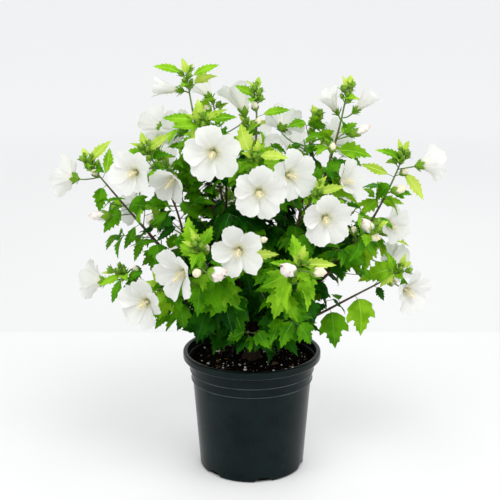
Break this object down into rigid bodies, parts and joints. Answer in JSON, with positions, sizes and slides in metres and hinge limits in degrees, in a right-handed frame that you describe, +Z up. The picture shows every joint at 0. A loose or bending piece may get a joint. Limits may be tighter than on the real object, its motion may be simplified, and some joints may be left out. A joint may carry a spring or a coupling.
{
  "type": "potted flowering shrub",
  "caption": "White-flowered rose of sharon shrub, branching from a short trunk in a round black plastic nursery pot filled with potting mix.",
  "frame": {"origin": "middle of the pot's flat underside, on the ground", "axes": "+Z up along the pot's axis, -Y towards the front that the picture shows, +X to that view's right"},
  "size_m": [0.6753, 0.5368, 0.7447],
  "materials": {
    "pot": "satin moulded black plastic with a faint blue cast",
    "soil": "moist dark bark-based potting mix with pale specks",
    "bark": "fine grey-brown bark, redder on the young stems",
    "foliage": "satin mid-green leaves with white petals"
  },
  "bodies": {
    "root": {"pot": "pot", "soil": "soil", "trunk": "bark", "bough_back": "bark", "bough_back_left": "bark", "bough_back_left_top": "bark", "bough_back_low_left": "bark", "bough_back_low_right": "bark", "bough_back_right": "bark", "bough_back_right_top": "bark", "bough_centre_front": "bark", "bough_far_left": "bark", "bough_front_left": "bark", "bough_front_mid": "bark", "bough_front_right": "bark", "bough_left_upper": "bark", "bough_low_left": "bark", "bough_low_left_front": "bark", "bough_low_right": "bark", "bough_mid_right": "bark", "bough_right": "bark", "bough_right_back": "bark", "bough_right_front": "bark", "bough_top_centre": "bark", "bough_top_left": "bark", "bough_top_left_front": "bark", "bough_top_right": "bark", "foliage_back": "foliage", "foliage_back_left": "foliage", "foliage_back_left_top": "foliage", "foliage_back_low_left": "foliage", "foliage_back_low_right": "foliage", "foliage_back_right": "foliage", "foliage_back_right_top": "foliage", "foliage_centre_front": "foliage", "foliage_far_left": "foliage", "foliage_front_left": "foliage", "foliage_front_mid": "foliage", "foliage_front_right": "foliage", "foliage_left_upper": "foliage", "foliage_low_left": "foliage", "foliage_low_left_front": "foliage", "foliage_low_right": "foliage", "foliage_mid_right": "foliage", "foliage_right": "foliage", "foliage_right_back": "foliage", "foliage_right_front": "foliage", "foliage_skirt_back": "foliage", "foliage_skirt_back_left": "foliage", "foliage_skirt_back_right": "foliage", "foliage_skirt_front": "foliage", "foliage_skirt_left": "foliage", "foliage_skirt_right": "foliage", "foliage_top_centre": "foliage", "foliage_top_left": "foliage", "foliage_top_left_front": "foliage", "foliage_top_right": "foliage"}
  },
  "joints": []
}
